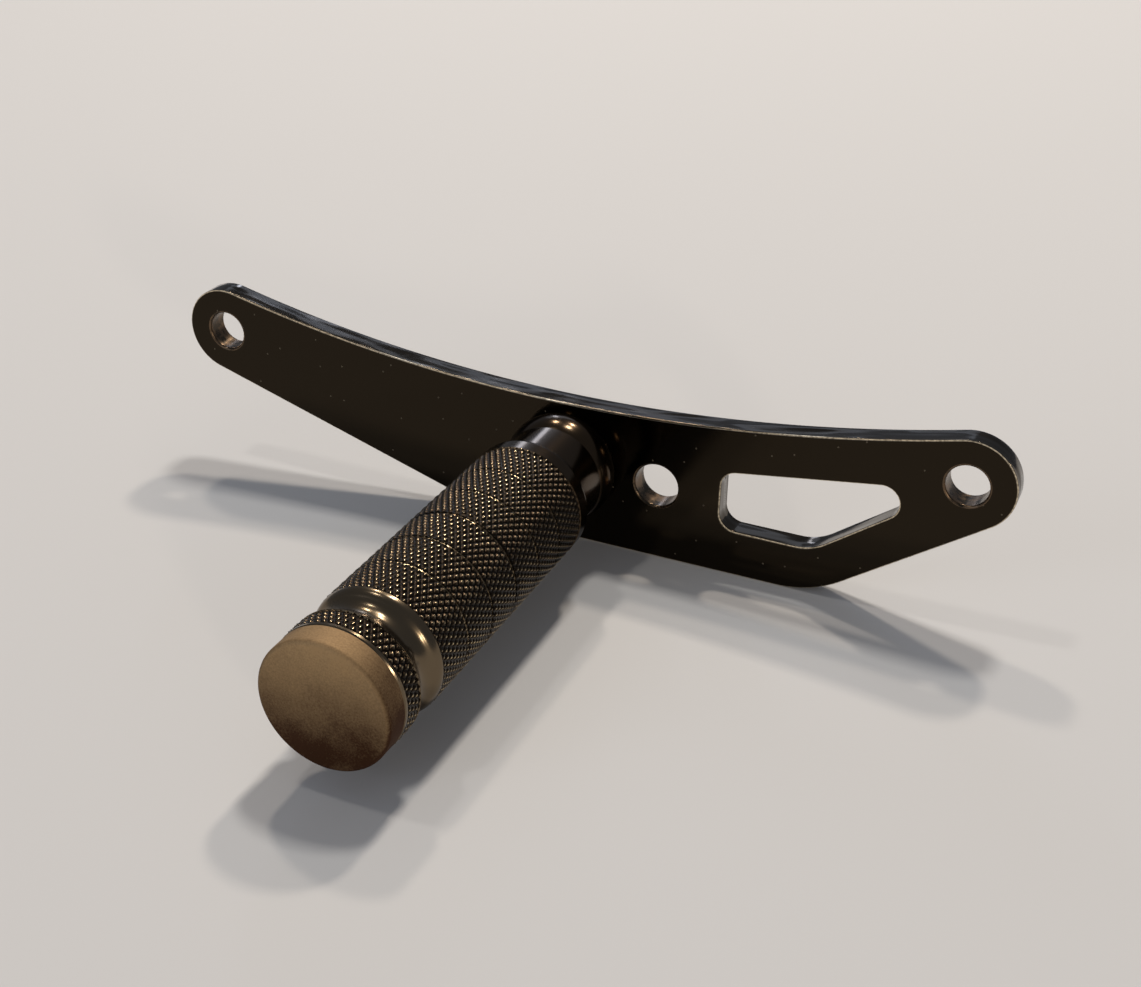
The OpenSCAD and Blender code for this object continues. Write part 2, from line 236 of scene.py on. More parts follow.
class ScrewSettings(PropertyGroup):
    """Sizes and finish of the countersunk screw"""

    head_r: size("Head radius", "Radius of the countersunk head", (SCREW_HIGH.x - SCREW_LOW.x) / 2)
    shank_r: size("Shank radius", "Radius of the threaded shank", 5 * MM)
    socket_af: size("Socket width", "Width across the flats of the hexagon socket", 6 * MM)
    socket_depth: size("Socket depth", "Depth of the hexagon socket", 3.6 * MM)
    bevel: size("Bevel", "Bevel round the head and the socket", 0.25 * MM)
    oxide: colour("Oxide", "Colour of the black oxide", "#2e2c2a")


class StageSettings(PropertyGroup):
    """Camera, floor and the room's light"""

    azimuth: angle("Azimuth", "Turn of the camera round the part", 24.013)
    elevation: angle("Elevation", "Height of the camera above the horizon", 28.876)
    roll: angle("Roll", "Roll of the camera", 0.852)
    distance: size("Distance", "Distance from the camera to what it looks at", 443.05 * MM)
    aim: FloatVectorProperty(
        name="Aim",
        description="Point that the camera looks at",
        default=(1.62 * MM, -6.35 * MM, -25.84 * MM),
        unit="LENGTH",
    )
    lens: FloatProperty(name="Lens", description="Focal length in mm on a 36 mm sensor", default=54.116)
    floor_w: size("Floor width", "Width of the square floor", 8.0, 0.0, 20.0)
    floor: colour("Floor", "Colour of the floor", "#cbcbcb")
    surround: colour("Surround", "Colour of the room's soft light", "#e9f0ff")
    surround_level: FloatProperty(name="Surround level", description="Strength of that light", default=0.2)


def linear(hex_value):
    """Linear RGBA of an sRGB hex colour."""
    digits = hex_value.lstrip("#")
    channels = [int(digits[i : i + 2], 16) / 255 for i in (0, 2, 4)]
    return (*[c / 12.92 if c <= 0.04045 else ((c + 0.055) / 1.055) ** 2.4 for c in channels], 1)


def add_node(tree, kind, links=None, values=None, **settings):
    """Adds a shader node with its settings, its fixed inputs and the sockets that feed it.

    A link may also name a whole node, and then the first output that the node has in
    use feeds the input.
    """
    made = tree.nodes.new("ShaderNode" + kind)
    for name, value in settings.items():
        setattr(made, name, value)
    for socket, value in (values or {}).items():
        made.inputs[socket].default_value = value
    for socket, source in (links or {}).items():
        outputs = getattr(source, "outputs", [source])
        tree.links.new(next(output for output in outputs if output.enabled), made.inputs[socket])
    return made


def tints(first, second):
    """The two fixed colours of a Mix node."""
    return {COLOUR_A: linear(first), COLOUR_B: linear(second)}


def new_material(name):
    """An empty node material and its tree."""
    material = bpy.data.materials.new(name)
    material.use_nodes = True
    material.node_tree.nodes.clear()
    return material, material.node_tree


def shade(material, links, constants):
    """Ends a material with its Principled shader; what is the same all over is set on its sockets."""
    shader = add_node(material.node_tree, "BsdfPrincipled", links, constants)
    add_node(material.node_tree, "OutputMaterial", {"Surface": shader})
    return material


def heading(turn):
    """Unit vector in the XZ plane, from +X towards +Z."""
    return Vector((math.cos(turn), 0, math.sin(turn)))


def bearing(start, end):
    """Angle of the way from one point to another in the XZ plane."""
    return math.atan2(end.z - start.z, end.x - start.x)


def touch(centre, radius, outside, side):
    """Point where a line from a point outside touches a circle."""
    turn = bearing(centre, outside) + side * math.acos(radius / (centre - outside).length)
    return centre + radius * heading(turn)


def crossing(p, p_turn, q, q_turn):
    """Point where two lines meet, each given by a point and an angle."""
    u, v, gap = heading(p_turn), heading(q_turn), q - p
    return p + u * (gap.x * v.z - gap.z * v.x) / (u.x * v.z - u.z * v.x)


def arc_stations(centre, radius, start, end, outward=1):
    """Stations along an arc; outward is -1 where the metal lies outside the arc."""
    step = 2 * math.acos(1 - ARC_SAG / radius)
    count = max(2, math.ceil(abs(end - start) / step))
    turns = [start + (end - start) * i / count for i in range(count + 1)]
    return [(centre + radius * heading(t), outward * heading(t)) for t in turns]


def corner_stations(before, corner, after, radius, outward=1):
    """Stations round one corner of an outline that runs before, corner, after."""
    u, v = (before - corner).normalized(), (after - corner).normalized()
    half = u.angle(v) / 2
    centre = corner + (u + v).normalized() * radius / math.sin(half)
    reach = radius / math.tan(half)
    start = bearing(centre, corner + u * reach)
    turn = math.remainder(bearing(centre, corner + v * reach) - start, math.tau)
    return arc_stations(centre, radius, start, start + turn, outward)


def point(x, z):
    """Point of the plate's outline, on its back face."""
    return Vector((x, 0, z))


def plate_loop(p):
    """The bracket's outline, counter-clockwise as +X runs right and +Z up."""
    half = p.hole_spacing / 2
    left, right = point(-half, 0), point(half, 0)
    left_corner = point(p.left_corner_x, p.bottom_z)
    right_corner = point(p.right_corner_x, p.bottom_z)
    left_touch = touch(left, p.lug_r, left_corner, -1)
    right_touch = touch(right, p.lug_r, right_corner, 1)
    # The hollow top edge is one arc that touches both lugs
    saddle_r = (half**2 + p.saddle_z**2 - p.lug_r**2) / (2 * (p.lug_r - p.saddle_z))
    saddle = point(0, p.saddle_z + saddle_r)
    right_up, left_up = bearing(right, saddle), bearing(left, saddle)
    return (
        corner_stations(left_touch, left_corner, right_corner, p.bottom_corner_r)
        + corner_stations(left_corner, right_corner, right_touch, p.bottom_corner_r)
        + arc_stations(right, p.lug_r, bearing(right, right_touch), right_up)
        + arc_stations(saddle, saddle_r, right_up - math.pi, left_up - math.pi, outward=-1)[1:-1]
        + arc_stations(left, p.lug_r, left_up, bearing(left, left_touch) % math.tau)
    )


def window_loop(p):
    """The window's outline, clockwise, with directions into the opening."""
    upper_left = point(p.window_left_x, p.window_top_z)
    lower_left = point(p.window_left_x, p.bottom_z + p.window_rail)
    lower_right = point(p.window_right_x, lower_left.z)
    right_end = crossing(upper_left, p.window_top_rise, lower_right, p.window_slope)
    corners = [upper_left, right_end, lower_right, lower_left]
    radii = [p.window_upper_r, p.window_end_r, p.window_blunt_r, p.window_lower_r]
    stations = []
    for i, radius in enumerate(radii):
        after = corners[(i + 1) % len(corners)]
        stations += corner_stations(corners[i - 1], corners[i], after, radius, outward=-1)
    return stations


def hole_loop(centre, radius):
    """A round hole's outline, clockwise, with directions into the hole."""
    return arc_stations(centre, radius, math.tau, 0, outward=-1)[:-1]


def round_stations(centre, count):
    """Stations for a turned form: the axis, and the directions out from it."""
    return [(centre, heading(math.tau * i / count)) for i in range(count)]


def straight_runs(*corners):
    """Straight runs of a profile, from corner to corner."""
    return [list(ends) for ends in zip(corners, corners[1:])]


def arc_run(centre_u, centre_s, radius, start, end, count):
    """Run along an arc, in degrees from the outward direction towards the front."""
    turns = [math.radians(start + (end - start) * i / count) for i in range(count + 1)]
    return [(centre_u + radius * math.cos(t), centre_s + radius * math.sin(t)) for t in turns]


def run_normals(run):
    """Outward normals at a run's points."""
    flats = []
    for (u0, s0), (u1, s1) in zip(run, run[1:]):
        flats.append(Vector((s1 - s0, u0 - u1)).normalized())
    inner = [(a + b).normalized() for a, b in zip(flats, flats[1:])]
    if not inner:
        return flats * 2
    # At each end the curve bends as much as it does over its outermost step
    first = 2 * flats[0].dot(inner[0]) * flats[0] - inner[0]
    last = 2 * flats[-1].dot(inner[-1]) * flats[-1] - inner[-1]
    return [first, *inner, last]


def looking(forward):
    """Direction that a flat face looks in."""
    return -BACKWARD if forward else BACKWARD


class Shell:
    """A mesh being built, with a normal for each corner of each face.

    Its ink is the number of the material that the next faces are drawn in.
    """

    def __init__(self):
        self.points = []
        self.faces = []
        self.normals = []
        self.inks = []
        self.ink = 0

    def ring(self, stations, u, s):
        """Adds one point per station, u out from it and s forward of the plate's back."""
        first = len(self.points)
        for origin, out in stations:
            self.points.append(origin + out * u - BACKWARD * s)
        return list(range(first, len(self.points)))

    def face(self, corners, normals):
        """Adds one face in the present ink, counter-clockwise as seen from outside."""
        self.faces.append(corners)
        self.normals.extend(normals)
        self.inks.append(self.ink)

    def bridge(self, stations, ring_a, ring_b, normal_a, normal_b):
        """Joins two rings over the same stations, with a profile normal at each."""
        count = len(stations)
        dirs = [out for origin, out in stations]
        at_a = [d * normal_a[0] - BACKWARD * normal_a[1] for d in dirs]
        at_b = [d * normal_b[0] - BACKWARD * normal_b[1] for d in dirs]
        for i in range(count):
            j = (i + 1) % count
            self.face((ring_a[i], ring_a[j], ring_b[j], ring_b[i]), (at_a[i], at_a[j], at_b[j], at_b[i]))

    def sweep(self, stations, runs, first=None):
        """Sweeps a profile's runs over the stations and returns the first and last rings."""
        last = first or self.ring(stations, *runs[0][0])
        first = last
        for run in runs:
            normals = run_normals(run)
            for i in range(1, len(run)):
                ring = self.ring(stations, *run[i])
                self.bridge(stations, last, ring, normals[i - 1], normals[i])
                last = ring
        return first, last

    def disc(self, ring, forward):
        """Closes a ring with one flat face that looks forward or backward."""
        corners = ring if forward else ring[::-1]
        self.face(tuple(corners), [looking(forward)] * len(corners))

    def flat(self, rings, forward):
        """Fills between an outer ring and the rings inside it."""
        normal = looking(forward)
        corners = [i for ring in rings for i in ring]
        # In metres the points lie too close together for the fill, so it is done in millimetres
        for tri in tessellate_polygon([[self.points[i] / MM for i in ring] for ring in rings]):
            a, b, c = (corners[i] for i in tri)
            across = (self.points[b] - self.points[a]).cross(self.points[c] - self.points[a])
            self.face((a, b, c) if across.dot(normal) > 0 else (a, c, b), [normal] * 3)

    def build(self, name, *materials):
        """Makes the object, with one material for each ink that its faces were drawn in."""
        mesh = bpy.data.meshes.new(name)
        mesh.from_pydata(self.points, [], self.faces)
        mesh.polygons.foreach_set("use_smooth", [True] * len(mesh.polygons))
        mesh.polygons.foreach_set("material_index", self.inks)
        mesh.normals_split_custom_set(self.normals)
        for material in materials:
            mesh.materials.append(material)
        mesh.update()
        made = bpy.data.objects.new(name, mesh)
        bpy.context.scene.collection.objects.link(made)
        return made


def edge_runs(depth, radius):
    """Profile of a straight edge from back to front, with both its arrises rounded."""
    return [
        arc_run(-radius, radius, radius, -90, 0, ARRIS_STEPS),
        [(0, radius), (0, depth - radius)],
        arc_run(-radius, depth - radius, radius, 0, 90, ARRIS_STEPS),
    ]


def seat(piece, node):
    """Puts a made piece in the place of its CAD node."""
    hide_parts(node)
    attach(piece, BODY)


def plated_plate_material(p):
    """Black nickel over polished steel plate: a deep black mirror with a faint warm cast.

    The rolled face stays slightly wavy, and the cut edges wavier, so that reflections
    waver along them. The arrises carry a painted highlight, a pale band broken up in
    small nicks. A few specks of dust lie on the faces, really about 0.1 mm across and
    drawn at 0.4 mm so that they show.
    """
    material, tree = new_material("polished_black_nickel_plate")
    surface = add_node(tree, "TexCoord").outputs
    place = surface["Object"]
    facing = add_node(tree, "SeparateXYZ", {0: surface["Normal"]}).outputs["Y"]
    squareness = add_node(tree, "Math", {0: facing}, operation="ABSOLUTE")
    edge = add_node(tree, "MapRange", {"Value": squareness}, {"From Min": 0.9, "From Max": 0.3})
    mottle = add_node(
        tree, "TexNoise", {"Vector": place}, {"Scale": 1 / (9 * MM), "Detail": 3.0, "Roughness": 0.6}
    )
    grain = add_node(tree, "TexNoise", {"Vector": place}, {"Scale": 1 / (0.7 * MM), "Detail": 2.0})
    parts = add_node(tree, "SeparateXYZ", {0: place}).outputs
    on_face = add_node(tree, "CombineXYZ", {"X": parts["X"], "Y": parts["Z"]})
    speck = add_node(
        tree, "TexVoronoi", {"Vector": on_face}, {"Scale": 1 / (11 * MM)}, voronoi_dimensions="2D"
    )
    dusty = add_node(tree, "MapRange", {"Value": speck}, {"From Min": 0.022, "From Max": 0.013})
    base = add_node(tree, "Mix", {FACTOR: edge}, tints(p.plating, p.cut_edge), data_type="RGBA")
    # Painted highlight: a pale band down the middle of each rounded arris, broken up in small nicks
    slant = add_node(tree, "Math", {0: squareness}, {1: ARRIS_FACING}, operation="SUBTRACT")
    slant = add_node(tree, "Math", {0: slant}, operation="ABSOLUTE")
    rubbed = add_node(tree, "MapRange", {"Value": slant}, {"From Min": 0.3, "From Max": 0.1})
    nicks = add_node(tree, "MapRange", {"Value": grain}, {"From Min": 0.35, "From Max": 0.6, "To Min": 0.4})
    rubbed = add_node(tree, "Math", {0: rubbed, 1: nicks}, operation="MULTIPLY")
    for share, tint in ((rubbed, p.arris), (dusty, p.dust)):
        base = add_node(
            tree, "Mix", {FACTOR: share, COLOUR_A: base}, {COLOUR_B: linear(tint)}, data_type="RGBA"
        )
    rough = add_node(tree, "MapRange", {"Value": mottle}, {**NOISE_SPREAD, "To Min": 0.09, "To Max": 0.17})
    rough = add_node(tree, "Math", {0: dusty, 1: rough}, operation="ADD", use_clamp=True)
    stretched = add_node(tree, "VectorMath", {0: place}, {1: (1.0, 4.0, 1.0)}, operation="MULTIPLY")
    wave = add_node(tree, "TexNoise", {"Vector": stretched}, {"Scale": 1 / (18 * MM), "Detail": 0.5})
    lift = add_node(tree, "MapRange", {"Value": edge}, {"To Min": 0.14, "To Max": 2.2})
    height = add_node(tree, "Math", {0: wave, 1: lift}, operation="MULTIPLY")
    fine = add_node(tree, "Math", {0: grain}, {1: 0.004}, operation="MULTIPLY")
    height = add_node(tree, "Math", {0: height, 1: fine}, operation="ADD")
    bump = add_node(tree, "Bump", {"Height": height}, {"Strength": 1.0, "Distance": 0.4 * MM})
    return shade(material, {"Base Color": base, "Roughness": rough, "Normal": bump}, {"Metallic": 1.0})


def bored_material(p):
    """Bored steel under a thin flash of black nickel: brown, streaked and duller than the faces.

    The drill leaves rings about 0.2 mm apart, drawn 0.5 mm apart so that they show.
    """
    material, tree = new_material("thinly_plated_bored_steel")
    place = add_node(tree, "TexCoord").outputs["Object"]
    stain = add_node(
        tree, "TexNoise", {"Vector": place}, {"Scale": 1 / (2.5 * MM), "Detail": 3.0, "Roughness": 0.6}
    )
    tone = add_node(tree, "MapRange", {"Value": stain}, {"From Min": 0.4, "From Max": 0.62})
    base = add_node(tree, "Mix", {FACTOR: tone}, tints(p.bored, p.cut_edge), data_type="RGBA")
    rough = add_node(tree, "MapRange", {"Value": stain}, {**NOISE_SPREAD, "To Min": 0.36, "To Max": 0.2})
    along = add_node(tree, "SeparateXYZ", {0: place}).outputs["Y"]
    rings = add_node(
        tree, "TexNoise", {"W": along}, {"Scale": 1 / (0.5 * MM), "Detail": 1.0}, noise_dimensions="1D"
    )
    bump = add_node(tree, "Bump", {"Height": rings}, {"Strength": 0.6, "Distance": 0.02 * MM})
    return shade(material, {"Base Color": base, "Roughness": rough, "Normal": bump}, {"Metallic": 1.0})


def bands_end(p):
    """Distance from the plate to the end of the equal knurled bands."""
    return p.knurl_s + p.band_count * p.band_pitch


def plated_peg_material(p, axis, front):
    """Black nickel over turned and knurled steel.

    The turned lands are polished black with a warm cast, rubbed paler and duller
    towards the outer end. The knurl's points are worn bright, its roots are dull and
    painted nearly black as shade, and the plate is thin and brown down in the ring
    grooves. The turning marks, really about 0.1 mm apart, are drawn 0.3 mm apart so
    that they show.
    """
    material, tree = new_material("black_nickel_on_turned_steel")
    place = add_node(tree, "TexCoord").outputs["Object"]
    along = add_node(tree, "SeparateXYZ", {0: place}).outputs["Y"]
    from_axis = add_node(tree, "VectorMath", {0: place}, {1: tuple(axis)}, operation="SUBTRACT")
    flat = add_node(tree, "VectorMath", {0: from_axis}, {1: (1, 0, 1)}, operation="MULTIPLY")
    radius = add_node(tree, "VectorMath", {0: flat}, operation="LENGTH")
    root_r = PEG_TIP_R - p.knurl_depth
    rise = add_node(tree, "MapRange", {"Value": radius}, {"From Min": root_r, "From Max": PEG_TIP_R})
    masks = []
    wide_end = bands_end(p) + p.wide_w
    for start, end in ((p.knurl_s, bands_end(p)), (wide_end, wide_end + p.short_band)):
        middle = -(front + (start + end) / 2)
        offset = add_node(tree, "Math", {0: along}, {1: middle}, operation="SUBTRACT")
        offset = add_node(tree, "Math", {0: offset}, operation="ABSOLUTE")
        masks.append(add_node(tree, "Math", {0: offset}, {1: (end - start) / 2}, operation="LESS_THAN"))
    banded = add_node(tree, "Math", {0: masks[0], 1: masks[1]}, operation="ADD")
    in_ring = add_node(tree, "Math", {0: radius}, {1: root_r - GROOVE_DROP}, operation="LESS_THAN")
    knurled = add_node(tree, "Math", {0: banded, 1: in_ring}, operation="SUBTRACT", use_clamp=True)
    ringed = add_node(tree, "Math", {0: banded, 1: in_ring}, operation="MULTIPLY")
    worn = add_node(tree, "MapRange", {"Value": rise}, {"From Min": 0.72, "From Max": 0.92})
    patch = add_node(tree, "TexNoise", {"Vector": place}, {"Scale": 1 / (4 * MM), "Detail": 2.0})
    patch = add_node(
        tree, "MapRange", {"Value": patch}, {"From Min": 0.35, "From Max": 0.65, "To Min": 0.35}
    )
    worn = add_node(tree, "Math", {0: worn, 1: patch}, operation="MULTIPLY")
    # Painted shade: the knurl darkens to nearly black down towards its roots
    diamonds = add_node(tree, "Mix", {FACTOR: rise}, tints(p.roots, p.plating), data_type="RGBA")
    diamonds = add_node(
        tree, "Mix", {FACTOR: worn, COLOUR_A: diamonds}, {COLOUR_B: linear(p.worn)}, data_type="RGBA"
    )
    inner_y, outer_y = -(front + p.knurl_s), -(front + bands_end(p))
    outer = add_node(tree, "MapRange", {"Value": along}, {"From Min": inner_y, "From Max": outer_y})
    base = add_node(tree, "Mix", {FACTOR: outer}, tints(p.plating, p.rubbed), data_type="RGBA")
    base = add_node(tree, "Mix", {FACTOR: knurled, COLOUR_A: base, COLOUR_B: diamonds}, data_type="RGBA")
    base = add_node(
        tree, "Mix", {FACTOR: ringed, COLOUR_A: base}, {COLOUR_B: linear(p.grooves)}, data_type="RGBA"
    )
    dull = add_node(tree, "MapRange", {"Value": rise}, {"To Min": 0.42, "To Max": 0.17})
    scuffed = add_node(tree, "MapRange", {"Value": outer}, {"To Min": 0.17, "To Max": 0.21})
    rough = add_node(tree, "Mix", {FACTOR: knurled, NUMBER_A: scuffed, NUMBER_B: dull}, data_type="FLOAT")
    marks = add_node(
        tree, "TexNoise", {"W": along}, {"Scale": 1 / (0.3 * MM), "Detail": 2.0}, noise_dimensions="1D"
    )
    bump = add_node(tree, "Bump", {"Height": marks}, {"Strength": 0.1, "Distance": 0.004 * MM})
    return shade(material, {"Base Color": base, "Roughness": rough, "Normal": bump}, {"Metallic": 1.0})


def blasted_material(p):
    """Bead-blasted bare steel, turned a warm brown-grey by handling.

    The beads leave dents of about 0.15 mm, drawn at 0.4 mm so that they show. Painted shade
    darkens the tone towards the bottom and round the band, and the tone wanders in patches
    where hands have been.
    """
    material, tree = new_material("bead_blasted_steel")
    surface = add_node(tree, "TexCoord").outputs
    place = surface["Object"]
    height = add_node(tree, "SeparateXYZ", {0: place}).outputs["Z"]
    facing = add_node(tree, "SeparateXYZ", {0: surface["Normal"]}).outputs["Y"]
    cloud = add_node(
        tree, "TexNoise", {"Vector": place}, {"Scale": 1 / (8 * MM), "Detail": 4.0, "Roughness": 0.6}
    )
    dents = add_node(
        tree, "TexNoise", {"Vector": place}, {"Scale": 1 / (0.4 * MM), "Detail": 2.0, "Roughness": 0.5}
    )
    # Painted shade: the cap darkens from its top down to a third of its radius above its bottom, and round
    # its band, which turns away from the front
    full_shade_z = CAP_LOW.z + p.radius / 3
    low = add_node(tree, "MapRange", {"Value": height}, {"From Min": CAP_HIGH.z, "From Max": full_shade_z})
    band = add_node(
        tree, "MapRange", {"Value": facing}, {"From Min": -0.95, "From Max": -0.5, "To Max": 0.4}
    )
    drift_and_shade = add_node(tree, "Math", {0: cloud}, {1: 0.7, 2: -0.35}, operation="MULTIPLY_ADD")
    fleck = add_node(tree, "Math", {0: dents}, {1: 0.5, 2: -0.25}, operation="MULTIPLY_ADD")
    for more in (fleck, band):
        drift_and_shade = add_node(tree, "Math", {0: drift_and_shade, 1: more}, operation="ADD")
    tone = add_node(tree, "Math", {0: low, 1: drift_and_shade}, operation="ADD", use_clamp=True)
    base = add_node(tree, "Mix", {FACTOR: tone}, tints(p.steel, p.dark_tone_and_shade), data_type="RGBA")
    rough = add_node(tree, "MapRange", {"Value": cloud}, {**NOISE_SPREAD, "To Min": 0.82, "To Max": 0.7})
    bump = add_node(tree, "Bump", {"Height": dents}, {"Strength": 0.5, "Distance": 0.03 * MM})
    return shade(material, {"Base Color": base, "Roughness": rough, "Normal": bump}, {"Metallic": 1.0})


def oxide_material(p):
    """Black oxide on a steel screw: a thin satin black, a little oily, over a fine forged grain."""
    material, tree = new_material("black_oxide_steel")
    place = add_node(tree, "TexCoord").outputs["Object"]
    oil = add_node(tree, "TexNoise", {"Vector": place}, {"Scale": 1 / (3 * MM), "Detail": 3.0})
    rough = add_node(tree, "MapRange", {"Value": oil}, {"To Min": 0.28, "To Max": 0.48})
    grain = add_node(tree, "TexNoise", {"Vector": place}, {"Scale": 1 / (0.25 * MM), "Detail": 1.0})
    bump = add_node(tree, "Bump", {"Height": grain}, {"Strength": 0.4, "Distance": 0.01 * MM})
    constants = {"Base Color": linear(p.oxide), "Metallic": 1.0}
    return shade(material, {"Roughness": rough, "Normal": bump}, constants)


def floor_material(p):
    """Pale matt paper: an even tone with hardly any sheen."""
    material, tree = new_material("pale_paper_floor")
    constants = {"Base Color": linear(p.floor), "Roughness": 0.9, "Specular IOR Level": 0.2}
    return shade(material, {}, constants)


def peg_axis():
    """Centre of the peg, on the plate's back face."""
    return point((PEG_LOW.x + PEG_HIGH.x) / 2, (PEG_LOW.z + PEG_HIGH.z) / 2)


class Knurl:
    """Diamond knurl: two families of helical grooves that leave four-sided points.

    A turn is an angle round the peg, and s is here the distance from the knurl's start.
    """

    # Share of a half diamond that the mesh's extra rows and columns stand from its ends
    tip_edge = 0.28
    # Share of the height at which the points are cut flat
    flat_share = 0.88
    # Height of the most worn point, and two numbers that scatter the wear over the points
    least_height = 0.94
    scatter = (12.9898, 78.233)
    # Reach over which the normals are taken, as plating softens an edge
    soft = 0.2 * MM
    # Bevel at a band's ends, the share of the height left at its foot, and the bevels
    # that the nearest row of the mesh stands away from an end
    bevel = 0.22 * MM
    foot_share = 0.5
    bevels_clear = 1.2

    def __init__(self, p):
        self.p = p
        self.root_r = PEG_TIP_R - p.knurl_depth
        self.half_turn = math.pi / p.knurl_count
        self.half_step = p.knurl_pitch / 2
        self.parts = (0, self.tip_edge, 1 - self.tip_edge)
        self.columns = [(i + f) * self.half_turn for i in range(2 * p.knurl_count) for f in self.parts]

    def rise(self, turn, s):
        """Height above the roots, from 0 to 1."""
        a = turn / self.half_turn / 2
        b = s / self.half_step / 2
        waves = [1 - abs(2 * (x - math.floor(x)) - 1) for x in (a + b, a - b)]
        one, other = (math.floor(x) % self.p.knurl_count for x in (a + b, a - b))
        chance = abs(math.sin(self.scatter[0] * one + self.scatter[1] * other))
        height = self.least_height + (1 - self.least_height) * chance
        return min(*waves, self.flat_share) / self.flat_share * height

    def radius(self, turn, s, limit=1.0):
        """Distance from the peg's axis, held under a share of the knurl's height."""
        return self.root_r + self.p.knurl_depth * min(self.rise(turn, s), limit)

    def normal(self, turn, s, radius):
        """Outward normal, softened as plating softens edges."""
        lean = self.soft / radius
        d_turn = (self.radius(turn + lean, s) - self.radius(turn - lean, s)) / (2 * self.soft)
        d_s = (self.radius(turn, s + self.soft) - self.radius(turn, s - self.soft)) / (2 * self.soft)
        out = heading(turn)
        round_way = Vector((-out.z, 0, out.x))
        return (out - round_way * d_turn + BACKWARD * d_s).normalized()

    def rows(self, start, end):
        """Places of one band's rows, with the share of the height that each may reach."""
        clear = self.bevel * self.bevels_clear
        first, last = math.floor(start / self.half_step), math.ceil(end / self.half_step)
        places = [(j + f) * self.half_step for j in range(first, last) for f in self.parts]
        inner = [(s, 1.0) for s in places if start + clear < s < end - clear]
        near = [(start, self.foot_share), (start + self.bevel, 1.0)]
        far = [(end - self.bevel, 1.0), (end, self.foot_share)]
        return near + inner + far

    def band(self, shell, axis, front, start, end):
        """Adds the surface of one band, placed from the plate, and returns its first and last rings."""
        base = self.p.knurl_s
        places = self.rows(start - base, end - base)
        rows = []
        for s, limit in places:
            row = []
            for turn in self.columns:
                radius = self.radius(turn, s, limit)
                row.append((len(shell.points), self.normal(turn, s, radius)))
                shell.points.append(axis + heading(turn) * radius - BACKWARD * (front + base + s))
            rows.append(row)
        count = len(self.columns)
        for k in range(len(rows) - 1):
            near, far = rows[k], rows[k + 1]
            step = math.floor((places[k][0] + places[k + 1][0]) / 2 / self.half_step)
            for i in range(count):
                j = (i + 1) % count
                a, b, c, d = near[i], near[j], far[j], far[i]
                # The two triangles meet along the groove that crosses here
                even = (i // len(self.parts) + step) % 2 == 0
                for half in ((a, b, c), (a, c, d)) if even else ((a, b, d), (b, c, d)):
                    shell.face(*zip(*half))
        return [[index for index, normal in row] for row in (rows[0], rows[-1])]


def wall(shell, plain, fine, forward):
    """Flat face between a plain inner ring and a finer knurled one outside it."""
    ratio = len(fine) // len(plain)
    for i in range(len(plain)):
        j = (i + 1) % len(plain)
        outer = [fine[(i * ratio + k) % len(fine)] for k in range(ratio + 1)]
        corners = [plain[j], plain[i], *outer]
        if not forward:
            corners.reverse()
        shell.face(tuple(corners), [looking(forward)] * len(corners))


def collar_run(p, front):
    """The rounded collar: one bead from the plate to the neck."""
    rise, half = p.collar_r - p.neck_r, p.collar_l / 2
    bead_r = (half**2 + rise**2) / (2 * rise)
    swing = math.degrees(math.asin(half / bead_r))
    return arc_run(p.collar_r - bead_r, front + half, bead_r, -swing, swing, COLLAR_STEPS)


def ring_run(bottom_r, lip_r, start, width):
    """A ring groove: one round-bottomed hollow."""
    half, depth = width / 2, lip_r - bottom_r
    hollow_r = (half**2 + depth**2) / (2 * depth)
    swing = math.asin(min(1, half / hollow_r))
    turns = [swing - 2 * swing * i / RING_STEPS for i in range(RING_STEPS + 1)]
    middle = start + half
    return [(bottom_r + hollow_r * (1 - math.cos(a)), middle - hollow_r * math.sin(a)) for a in turns]


def wide_groove_run(p, front):
    """The wide groove: a rounded inner lip that runs into one hollow arc."""
    start = front + bands_end(p)
    end = start + p.wide_w
    half = (p.wide_w - p.wide_lip_l - 2 * p.run_out) / 2
    hollow_r = (half**2 + p.wide_depth**2) / (2 * p.wide_depth)
    swing = math.asin(half / hollow_r)
    lip_r = p.wide_lip_l / math.sin(swing)
    lip_drop = lip_r * (1 - math.cos(swing))
    lip = arc_run(p.band_r - lip_r, start + p.run_out, lip_r, 0, math.degrees(swing), WIDE_STEPS // 2)
    hollow = []
    for i in range(WIDE_STEPS + 1):
        a = swing - 2 * swing * i / WIDE_STEPS
        lean = lip_drop * (1 + math.sin(a) / math.sin(swing)) / 2
        u = p.band_r - p.wide_depth + hollow_r * (1 - math.cos(a)) - lean
        s = end - p.run_out - half - hollow_r * math.sin(a)
        hollow.append((u, s))
    return lip + hollow[1:]


class SHIFTPEG_OT_plate(Operator):
    """Builds the bracket plate with its holes, window and rounded edges"""

    bl_idname = "shift_peg.plate"
    bl_label = "Bracket plate"

    def execute(self, context):
        p = context.scene.shift_peg_plate
        shell = Shell()
        half = p.hole_spacing / 2
        middle = Vector(MIDDLE_HOLE["pos_m"])
        cone = p.countersink_r - p.screw_hole_r
        rounded = edge_runs(p.thickness, p.edge_r)
        countersunk = straight_runs((-cone, 0), (0, cone), (0, p.thickness))
        plated, bored = 0, 1
        edges = [
            (plated, plate_loop(p), rounded),
            (plated, window_loop(p), rounded),
            (bored, hole_loop(point(-half, 0), p.end_hole_r), rounded),
            (bored, hole_loop(point(half, 0), p.end_hole_r), rounded),
            (bored, hole_loop(point(middle.x, middle.z), p.middle_hole_r), rounded),
            (bored, hole_loop(peg_axis(), p.screw_hole_r), countersunk),
        ]
        backs, fronts = [], []
        for ink, stations, runs in edges:
            shell.ink = ink
            back, front = shell.sweep(stations, runs)
            backs.append(back)
            fronts.append(front)
        shell.ink = plated
        shell.flat(backs, forward=False)
        shell.flat(fronts, forward=True)
        made = shell.build("bracket_plate_plated", plated_plate_material(p), bored_material(p))
        seat(made, "bracket_plate")
        return {"FINISHED"}


